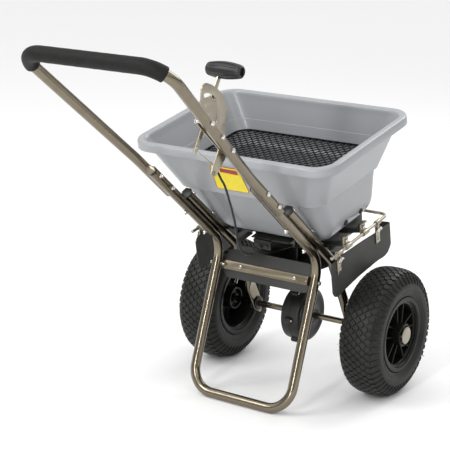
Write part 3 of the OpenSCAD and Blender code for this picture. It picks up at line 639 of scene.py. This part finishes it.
def hopper():
    """Outer wall from the floor up over the rim, then the inner wall back down to the floor."""
    def lower(w, inset=0.0):
        half, rear, front, radius = (np.interp(w, TIER[:, 0], TIER[:, k]) for k in (1, 2, 3, 4))
        inset += 4.5 * smooth((w - 310) / 100)
        return half - inset, rear + inset, front - inset, radius

    def upper(w, inset=0.0):
        t = up_tier(w)
        return 208 + 60 * t - inset, -211 - 58 * t + inset, 105 + 22 * t - inset, 42 + 3 * t

    def lip(inset):
        return 283 - inset, -284 + inset, 142 - inset, 60 - inset
    stations = [(272, lower(272, 8)), (272.6, lower(272, 3)), (274, lower(273.5, 0.8)), (277, lower(277))]
    stations += [(w, lower(w)) for w in (280, 285, 290, 295, 300, 305, 310, 317, 325, 345, 370, 395)]
    stations += [(w, lower(w)) for w in (405, 410, 413.5, 414.8)]
    stations += [(415.2, lower(415.2, -1)), (415.5, upper(416, 1)), (416.1, upper(416, -0.3)),
                 (417, upper(417, -0.4)), (418.5, upper(418.5))]
    stations += [(w, upper(w)) for w in (422, 440, 465, 490, 515, 530, 541)]
    stations += [(544.5, (269.5, -270.5, 128.5, 46)), (545.6, (273, -274, 132, 49)),
                 (545, (277, -278, 136, 53)), (542, (279, -280, 138, 55)),
                 (531, lip(3.8)), (528.6, lip(3.4)), (528, lip(2.2)),
                 (528.4, lip(0.6)), (530, lip(0)), (544, lip(0.4)), (547, lip(1.2)), (549.2, lip(3.2)),
                 (550, lip(6.2)), (550, lip(13)), (549.4, (265.5, -266.5, 124.5, 43)),
                 (547, (262.8, -263.8, 121.8, 41))]
    stations += [(w, upper(w, 4)) for w in (541, 525, 505, 484, 481.2, 480.7)]
    stations += [(w, upper(w, 4.5)) for w in (480.3, 479.8, 474, 455, 435, 424)]
    stations += [(421, upper(419, 6)), (419.6, upper(417, 8)), (418, lower(417, 4.5))]
    stations += [(w, lower(w, 4)) for w in (412, 390, 350, 325, 310, 300, 290, 282)]
    stations += [(278, lower(279, 5)), (276.4, lower(277, 8)), (276, lower(276, 14))]
    made = Shape(leaning)
    rows = []
    for w, (half, rear, front, radius) in stations:
        depth = 17 * smooth((417 - w) / 2) * smooth((w - 268) / 40)
        rows.append([(x, v, w) for x, v in outline(half, rear, front, radius, depth)])
    made.skin(rows, start=True, end=True)
    made.piece("hopper_shell", "hopper", HOPPER, sharp=60)


def screen():
    """Expanded mesh: zigzag strands that touch at their peaks, inside a narrow edge."""
    half, rear, front = 214, -218, 102
    made = Shape(leaning)
    inside = (rear + front) / 2
    rows = []
    for w, e in ((452, 0.6), (452, 3.4), (456.4, 3.4), (456.4, 0.6)):
        rows.append([(x, v, w) for x, v in outline(half - e, rear + e, front - e, 40 - e)])
    made.skin(rows + rows[:1])
    pitch, gap, wide, thick = 20.0, 11.4, 2.3, 2.4

    def within(x, v):
        dx = max(0, abs(x) - (half - 42))
        dv = max(0, abs(v - inside) - ((front - rear) / 2 - 42))
        return math.hypot(dx, dv) < 40
    for j in range(int((front - rear) / gap) + 1):
        v0, sign = rear + 3 + j * gap, 1 if j % 2 else -1
        strand = []
        for k in range(-24, 25):
            peak = sign * (1 if k % 2 else -1) * (gap / 2 - 0.3)
            for dx in (-2.4, 2.4):
                strand.append((k * pitch / 2 + dx, v0 + peak, 454.6 + 0.08 * peak))
        run = []
        for p in [*strand, None]:
            if p and within(p[0], p[1]):
                run.append(p)
                continue
            if len(run) > 2:
                box = [(wide, thick / 2 - 0.7), (-wide, thick / 2), (-wide, -thick / 2), (wide, -thick / 2)]
                made.skin([[(q[0], q[1] + a, q[2] + b) for a, b in box] for q in run], start=True, end=True)
            run = []
    made.piece("screen_mesh", "screen", MESH, sharp=30)


def panel():
    """Plain yellow panel with a dark red border and bar on the hopper's rear wall."""
    def wall(x, w, lift):
        return x, -211 - 58 * up_tier(w) - lift * 0.92, w - lift * 0.4
    corners = [(-66, 507), (17, 507), (22, 432), (-74, 432)]

    def rounded(inset, radius):
        middle = np.mean(corners, axis=0)
        pts = [Vector((*(np.array(c) + (middle - c) / np.linalg.norm(middle - c) * inset * 1.4), 0))
               for c in corners]
        out = []
        for a, b, c in zip([pts[-1], *pts[:-1]], pts, [*pts[1:], pts[0]]):
            out += bent_path([a.lerp(b, 0.5), b, b.lerp(c, 0.5)], [radius], step=2)[1:-1]
        return [(p.x, p.y) for p in out]
    made = Shape(leaning)
    for inset, lift, shade in ((0, 0.45, 1), (1.9, 0.75, 0)):
        ring = rounded(inset, 8 - inset)
        made.skin([[wall(x, w, 0.1) for x, w in ring], [wall(x, w, lift) for x, w in ring]],
                  start=True, end=True, shade=shade)
    bar = [(-41, 502), (10, 500.5), (10, 487), (-41, 489)]
    made.skin([[wall(x, w, 0.3) for x, w in bar], [wall(x, w, 1.0) for x, w in bar]], start=True, end=True,
              shade=1)
    made.piece("panel", "decal", [YELLOW, RED])


hopper()
screen()
panel()


# ---------------------------------------------------------------- shields

def side_shield(side, name):
    """Hangs beside the wheel; its front edge turns in round a bend and has round corners."""
    low_line = [(-165, 175), (-158, 162), (-146, 157), (-106, 160), (-40, 164), (60, 164), (90, 160),
                (104, 161), (115, 164.5), (124, 171), (131, 180), (140, 187), (190, 190)]
    high_line = [(-165, 240), (-157, 251), (-140, 254), (-100, 254), (-5, 248), (80, 240), (118, 239),
                 (133, 237), (190, 232)]
    thick, bend, radius, x0, corner = 2.5, 128, 11, 200, 14
    arc = radius * math.pi / 2
    stops = [-165, -163, -160, -155, -148, -140, -128, *range(-110, 128, 16)]
    stops += [bend + arc * k / 8 for k in range(9)] + [bend + arc + d for d in (6, 14, 20, 24, 27, 29, 30)]
    rows = []
    for u in stops:
        low = np.interp(u, *zip(*low_line))
        high = np.interp(u, *zip(*high_line))
        near = min(1, max(0, (u - (stops[-1] - corner)) / corner))
        round_off = corner * (1 - math.sqrt(1 - min(0.999, near) ** 2))
        low, high = low + round_off, high - round_off
        if u <= bend:
            x, v, out = x0, u, (1, 0)
        else:
            a = min(math.pi / 2, (u - bend) / radius)
            x = x0 - radius * (1 - math.cos(a)) - max(0, u - bend - arc)
            v = bend + radius * math.sin(a)
            out = (math.cos(a), math.sin(a))
        column = [Vector((side * x, v, low + (high - low) * k / 6)) for k in range(7)]
        square = Vector((side * out[0], out[1], 0)) * thick / 2
        rows.append([p + square for p in column] + [p - square for p in reversed(column)])
    made = Shape(leaning)
    made.skin(rows, start=True, end=True)
    made.piece(name, name, SHIELD, sharp=35)


for side, hand in ((-1, "left"), (1, "right")):
    side_shield(side, "shield_" + hand)


BAR_HIGH = 319.5                     # height of the flat bar between the stand's legs
LEG_LEAN = math.atan2(BEND.y - FOOT.y, BEND.z - FOOT.z)
BAR = Vector((0, BEND.y - (BEND.z - BAR_HIGH) * math.tan(LEG_LEAN), BAR_HIGH))
BAR_AHEAD = Vector((0, math.cos(LEG_LEAN), -math.sin(LEG_LEAN)))
BAR_UP = Vector((0, math.sin(LEG_LEAN), math.cos(LEG_LEAN)))


def at_bar(p):
    """A place given in mm across, up and ahead from the middle of the shield's bar."""
    return machine(BAR + ACROSS * p[0] + BAR_UP * p[1] + BAR_AHEAD * p[2])


def rounded_box(low, high, radius, steps=8):
    """A rectangle with round corners as (a, b) points."""
    (a0, b0), (a1, b1) = low, high
    points = []
    for centre, start in (((a1 - radius, b0 + radius), -90), ((a1 - radius, b1 - radius), 0),
                          ((a0 + radius, b1 - radius), 90), ((a0 + radius, b0 + radius), 180)):
        for k in range(steps + 1):
            a = math.radians(start + 90 * k / steps)
            points.append((centre[0] + radius * math.cos(a), centre[1] + radius * math.sin(a)))
    return points


def plate(place, outline, holes, thick):
    """A flat plate with eased edges; outline and holes are (a, b) points about its middle plane."""
    edge = 0.4
    curve = bpy.data.curves.new("plate", "CURVE")
    curve.dimensions = "2D"
    curve.fill_mode = "BOTH"
    curve.extrude = thick / 2 - edge
    curve.bevel_depth = edge
    curve.bevel_resolution = 1
    curve.offset = -edge
    for ring in (outline, *holes):
        line = curve.splines.new("POLY")
        line.points.add(len(ring) - 1)
        for point, p in zip(line.points, ring):
            point.co = (p[0], p[1], 0, 1)
        line.use_cyclic_u = True
    flat = bpy.data.objects.new("plate", curve)
    mesh = bpy.data.meshes.new_from_object(flat)
    bpy.data.objects.remove(flat)
    made = Shape(place)
    made.points = [Vector(v.co) for v in mesh.vertices]
    for face in mesh.polygons:
        made.faces.append(tuple(face.vertices))
        made.uvs.append([(made.points[v].y * UV_STEP, made.points[v].x * UV_STEP) for v in face.vertices])
        made.shades.append(0)
    bpy.data.meshes.remove(mesh)
    return made


def ring_at(a, b, radius, sides=20):
    """Points of a regular ring about the point (a, b)."""
    return [(a + p, b + q) for p, q in circle(radius, sides)]


def rear_shield():
    """Flat plate with round corners on the flat bar."""
    outline = rounded_box((-130, -31), (130, 43), 24)
    holes = [ring_at(x, 0, 2.6) for x in (-80, 80)]
    made = plate(lambda p: at_bar((p[0], p[1], 17.1 + p[2])), outline, holes, 3)
    made.piece("rear_shield", "rear_shield", SHIELD, sharp=35)


rear_shield()


# ---------------------------------------------------------------- gearbox

def gearbox(side, name):
    """Half of the drum, with a stepped cover, a boss round the axle and lugs for its screws."""
    made = Shape(lambda p: AXLE + Vector((side * p[0], 0, 0)) * MM + (ALONG * p[1] + UPRIGHT * p[2]) * MM)
    made.lathe([(0.05, 66), (0.05, 69.2), (0.9, 70), (20, 70), (24, 69), (26.4, 66.4), (27, 63),
                (27.4, 61.6), (29.8, 60.6), (31, 58.6), (31, 50), (29.6, 47), (29.4, 30), (31, 24),
                (33, 21.6), (37, 21), (38, 20), (38, 14.5), (36.4, 13.8), (36.4, 8.2), (0.05, 8.2),
                (0.05, 10), (22, 12), (22, 64)], turns=96)
    lug_circle, lug = 72, 8
    for turn in range(20, 321, 60):
        a = math.radians(turn)
        centre = (lug_circle * math.sin(a), -lug_circle * math.cos(a))
        rows = []
        for x, radius in ((0.05, lug), (8, lug), (9, lug * 0.88)):
            rows.append([(x, *p) for p in ring_at(*centre, radius, 24)])
        made.skin(rows, start=True, end=True)
    made.piece(name, name, PLASTIC, sharp=30)


gearbox(-1, "gearbox_left")
gearbox(1, "gearbox_right")


# ---------------------------------------------------------------- cable

# From the anchor on the quadrant down to the stop under the hopper
CABLE = [(143.4, -619, 667.6), (142, -603, 648), (139, -585, 631), (131, -559, 602), (116, -513, 545),
         (105, -485, 508), (95, -461, 473), (87, -439, 450), (77, -411, 430), (63, -368, 415),
         (46, -314, 404), (28, -270, 400), (6, -240, 392), (-15, -222, 384), (-24, -208, 378)]


CABLE_WIDE = 5.2 * MM


def cable():
    """The sheath, as a curve with thickness along its route."""
    path = [machine(p) for p in spline(CABLE, 6)]
    data = bpy.data.curves.new("cable", "CURVE")
    data.dimensions = "3D"
    line = data.splines.new("POLY")
    line.points.add(len(path) - 1)
    for point, p in zip(line.points, path):
        point.co = (*p, 1)
    line.use_smooth = True
    data.bevel_depth = CABLE_WIDE / 2
    data.bevel_resolution = 4
    data.use_fill_caps = True
    data.materials.append(SHEATH)
    obj = bpy.data.objects.new("cable", data)
    bpy.context.scene.collection.objects.link(obj)
    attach(obj, BODY["cable_outer"])
    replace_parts(obj, "cable_outer")


cable()


# ---------------------------------------------------------------- rate lever

LEVER_TURN = math.radians(60.9)
PIVOT = Vector((0, -680, 799))
ALONG_LEVER = Vector((0, math.cos(LEVER_TURN), math.sin(LEVER_TURN)))
OFF_LEVER = Vector((0, -math.sin(LEVER_TURN), math.cos(LEVER_TURN)))
LEVER_OFF = -15.5                    # of the lever's strip from the pivot, square to it
SLOT_R = 44.3                        # of the quadrant's slot about the pivot


def at_lever(p):
    """A place given in mm from the pivot: across, along the lever, and square to it."""
    return machine(PIVOT + ACROSS * p[0] + ALONG_LEVER * p[1] + OFF_LEVER * p[2])


def slot(points, half):
    """A slot's outline along (a, b) points; half gives its half width on either side of each."""
    p = [np.array(q, float) for q in points]
    left, right = [], []
    for i, q in enumerate(p):
        ahead = p[min(i + 1, len(p) - 1)] - p[max(i - 1, 0)]
        square = np.array((-ahead[1], ahead[0])) / np.linalg.norm(ahead)
        inner, outer = half(i / (len(p) - 1))
        left.append(tuple(q + square * inner))
        right.append(tuple(q - square * outer))
    return right + left[::-1]


def quadrant():
    """Plate with the lever's slot, wider at its upper end, and a small hole above the pivot."""
    outline = [(-714, 787), (-704, 807), (-698, 834), (-697, 856), (-692, 864.5), (-681, 868), (-663, 863),
               (-637, 850), (-620, 837), (-603, 806), (-602, 793), (-606, 774), (-606, 747), (-601, 724),
               (-599, 712), (-608, 703), (-650, 735)]
    corners = [Vector((*p, 0)) for p in outline]
    soft = []
    for a, b, c in zip([corners[-1], *corners[:-1]], corners, [*corners[1:], corners[0]]):
        reach = min((a - b).length, (c - b).length) * 0.45
        before, after = b + (a - b).normalized() * reach, b + (c - b).normalized() * reach
        for t in (0, 0.25, 0.5, 0.75, 1):
            q = before.lerp(b, t).lerp(b.lerp(after, t), t)
            soft.append((q.x, q.y))
    turns = [math.radians(a) for a in range(-26, 101, 3)]
    arc = [(PIVOT.y + SLOT_R * math.cos(a), PIVOT.z + SLOT_R * math.sin(a)) for a in turns]
    holes = [slot(arc, lambda t: (2.4 + 4.2 * smooth((t - 0.74) / 0.04), 2.4)), ring_at(-683, 820, 2.5)]
    made = plate(lambda p: machine((151.4 + p[2], p[0], p[1])), soft, holes, 2.8)
    made.piece("quadrant", "quadrant", PLATE, sharp=35)


def lever():
    """Strip with a round ear at the pivot, an eye for the wire, and the pin that runs in the slot."""
    strip = [(-76, LEVER_OFF + 6), *[(-76 - 6 * math.sin(a), LEVER_OFF + 6 * math.cos(a))
                                     for a in np.linspace(0, math.pi, 9)[1:-1]], (-76, LEVER_OFF - 6),
             (101, LEVER_OFF - 6), (101, LEVER_OFF + 6), (18, LEVER_OFF + 6)]
    ear = [(8.5 * math.sin(a), 8.5 * math.cos(a)) for a in np.linspace(1.2, -1.2, 9)]
    outline = strip + [(16, LEVER_OFF + 7.5)] + ear + [(-16, LEVER_OFF + 7.5), (-18, LEVER_OFF + 6)]
    eye = slot([(-72, LEVER_OFF), (-68, LEVER_OFF), (-64, LEVER_OFF)], lambda t: (2.2, 2.2))
    made = plate(lambda p: at_lever((143.7 + p[2], p[0], p[1])), outline, [eye], 4)
    pin = ring_at(math.sqrt(SLOT_R ** 2 - LEVER_OFF ** 2), LEVER_OFF, 2.2, 24)
    made.skin([[(*p, x) for p in pin] for x in (1.8, 9.6)], start=True, end=True)
    made.piece("lever", "lever", PLATE, sharp=35)


def knob():
    """A spindle with flutes that stop short of its ends, hollow at its outer end."""
    half, flutes = 44, 12
    made = Shape(lambda p: at_lever((153.5 + p[0], 109.4 + p[1], LEVER_OFF + p[2])))
    turns = np.linspace(0, 2 * math.pi, 12 * flutes, False)
    rows = []
    for x in (-half, -43.2, -41.5, -39, -37, -35, *range(-32, 33, 4), 35, 37, 39, 41.5, 43.2, half):
        radius = 19 - 5.4 * (abs(x) / half) ** 1.9 - 2.6 * max(0, abs(x) - 41) / 3
        depth = 1.7 * smooth((38 - abs(x)) / 4)
        ring = []
        for a in turns:
            r = radius - depth * smooth((math.cos(flutes * a) + 0.15) / 0.8)
            ring.append((x, r * math.cos(a), r * math.sin(a)))
        rows.append(ring)
    for x, r in ((half, 9.4), (42.6, 8.6), (38, 8.2), (38, 0.5)):
        rows.append([(x, r * math.cos(a), r * math.sin(a)) for a in turns])
    made.skin(rows, start=True, end=True)
    made.piece("knob", "lever_knob", KNOB, sharp=40)


def anchor():
    """Plate on the quadrant that holds the end of the cable's sheath in a stepped fitting, with its bolt."""
    middle = 148.3                       # of the plate, across
    outline = [(-626, 716), (-621, 727), (-608, 728), (-600, 718), (-598, 695), (-625, 668), (-633, 661),
               (-645, 659), (-652, 669), (-648, 679)]
    made = plate(lambda p: machine((middle + p[2], p[0], p[1])), outline, [], 3)
    first, last = (Vector((y, z, 143.4 - middle)) for y, z in ((-638, 686), (-620, 668.6)))
    square = (last - first).normalized().cross(Vector((0, 0, 1)))
    for radius, t0, t1 in ((3.6, 0, 0.45), (4.8, 0.45, 0.62), (4.0, 0.62, 1)):
        rows = []
        for t in (t0, t1):
            centre = first.lerp(last, t)
            rows.append([centre + square * a + Vector((0, 0, b)) for a, b in circle(radius, 20)])
        made.skin(rows, start=True, end=True)
    for radius, low, high in ((5.2, 1.5, 2.4), (4.2, 2.4, 5.2), (2.2, 5.2, 7.4)):
        ring = ring_at(-641, 668, radius, 24)
        made.skin([[(*p, x) for p in ring] for x in (low, high)], start=True, end=True)
    made.piece("anchor", "cable_anchor", PLATE, sharp=35)


quadrant()
lever()
knob()
anchor()


# ---------------------------------------------------------------- small hard parts

# How far the edges of CAD shapes are rounded, in mm, and the looks that differ from their slot's
EDGES = {"axle_bushes": 1.0, "stand_end_caps": 1.2, "strut_end_caps": 0.5, "chassis": 1.0, "rod_arms": 0.8,
         "spinner_disc": 0.8, "hopper_caps": 0.8, "axle": 0.6, "shield_bar": 0.5}
OWN_LOOKS = {"shutter": PLASTIC, "shutter_link": PLASTIC, "cable_stop": PLASTIC, "shield_bar": BAR_STEEL}
done = {n for obj in bpy.context.scene.objects for n in obj.get("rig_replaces", [])}
for node in sorted(frame["nodes"]):
    if node not in done:
        refined(node, EDGES.get(node, 0.45), OWN_LOOKS.get(node, LOOKS[SLOT[node]]))


# ---------------------------------------------------------------- floor, light and camera

def studio():
    """Pale floor, four soft lights, and a world pale at the horizon, grey above it and bright on top."""
    reach = 40
    floor = bpy.data.meshes.new("floor")
    floor.from_pydata([(-reach, -reach, 0), (reach, -reach, 0), (reach, reach, 0), (-reach, reach, 0)],
                      [], [(0, 1, 2, 3)])
    ground = bpy.data.objects.new("floor", floor)
    bpy.context.scene.collection.objects.link(ground)
    pale = bpy.data.materials.new("floor")
    pale.use_nodes = True
    shader = pale.node_tree.nodes["Principled BSDF"]
    shader.inputs["Base Color"].default_value = (0.82, 0.82, 0.82, 1)
    shader.inputs["Roughness"].default_value = 0.9
    floor.materials.append(pale)

    world = bpy.data.worlds.new("studio")
    world.use_nodes = True
    nodes, links = world.node_tree.nodes, world.node_tree.links
    place = nodes.new("ShaderNodeTexCoord")
    split = nodes.new("ShaderNodeSeparateXYZ")
    ramp = nodes.new("ShaderNodeValToRGB")
    ramp.color_ramp.elements[0].color = (0.75, 0.75, 0.75, 1)
    for at, grey in ((0.07, 0.75), (0.12, 0.24), (0.30, 0.28), (0.42, 0.75), (0.8, 0.9)):
        stop = ramp.color_ramp.elements.new(at)
        stop.color = (grey, grey, grey, 1)
    links.new(place.outputs["Generated"], split.inputs["Vector"])
    links.new(split.outputs["Z"], ramp.inputs["Fac"])
    links.new(ramp.outputs["Color"], nodes["Background"].inputs["Color"])
    nodes["Background"].inputs["Strength"].default_value = 1.35
    bpy.context.scene.world = world
    centre = (cad_low + cad_high) / 2
    for name, spot, wide, tall, watts in (("key", (-1.6, -2.4, 3.2), 1.6, 1.6, 60),
                                          ("fill", (3.2, -1.6, 2.2), 1.2, 1.2, 8),
                                          ("back", (0.6, 3.0, 2.8), 1.8, 1.8, 40),
                                          ("strip", (0.5, -3.6, 1.5), 0.3, 2.6, 62)):
        data = bpy.data.lights.new(name, "AREA")
        data.shape = "RECTANGLE"
        data.energy, data.size, data.size_y = watts, wide, tall
        lamp = bpy.data.objects.new(name, data)
        lamp.location = spot
        lamp.rotation_mode = "QUATERNION"
        lamp.rotation_quaternion = (centre - Vector(spot)).to_track_quat("-Z", "Y")
        bpy.context.scene.collection.objects.link(lamp)


def camera():
    """A long lens behind the machine, to its right and above it, rolled by a degree."""
    eye = Vector((1.8733, AXLE.y - 3.144, 1.32965))
    ahead = Vector((-0.54284, 0.80269, -0.24702)).normalized()
    roll = 0.0213
    level = ahead.cross(Vector((0, 0, 1))).normalized()
    above = level.cross(ahead)
    right = level * math.cos(roll) + above * math.sin(roll)
    up = above * math.cos(roll) - level * math.sin(roll)
    data = bpy.data.cameras.new("camera")
    data.sensor_width = 36
    data.lens = 116.456
    obj = bpy.data.objects.new("camera", data)
    turn = Matrix((right, up, -ahead)).transposed()
    obj.matrix_world = Matrix.Translation(eye) @ turn.to_4x4()
    bpy.context.scene.collection.objects.link(obj)
    bpy.context.scene.camera = obj


studio()
camera()
bpy.context.scene.view_settings.view_transform = "Standard"
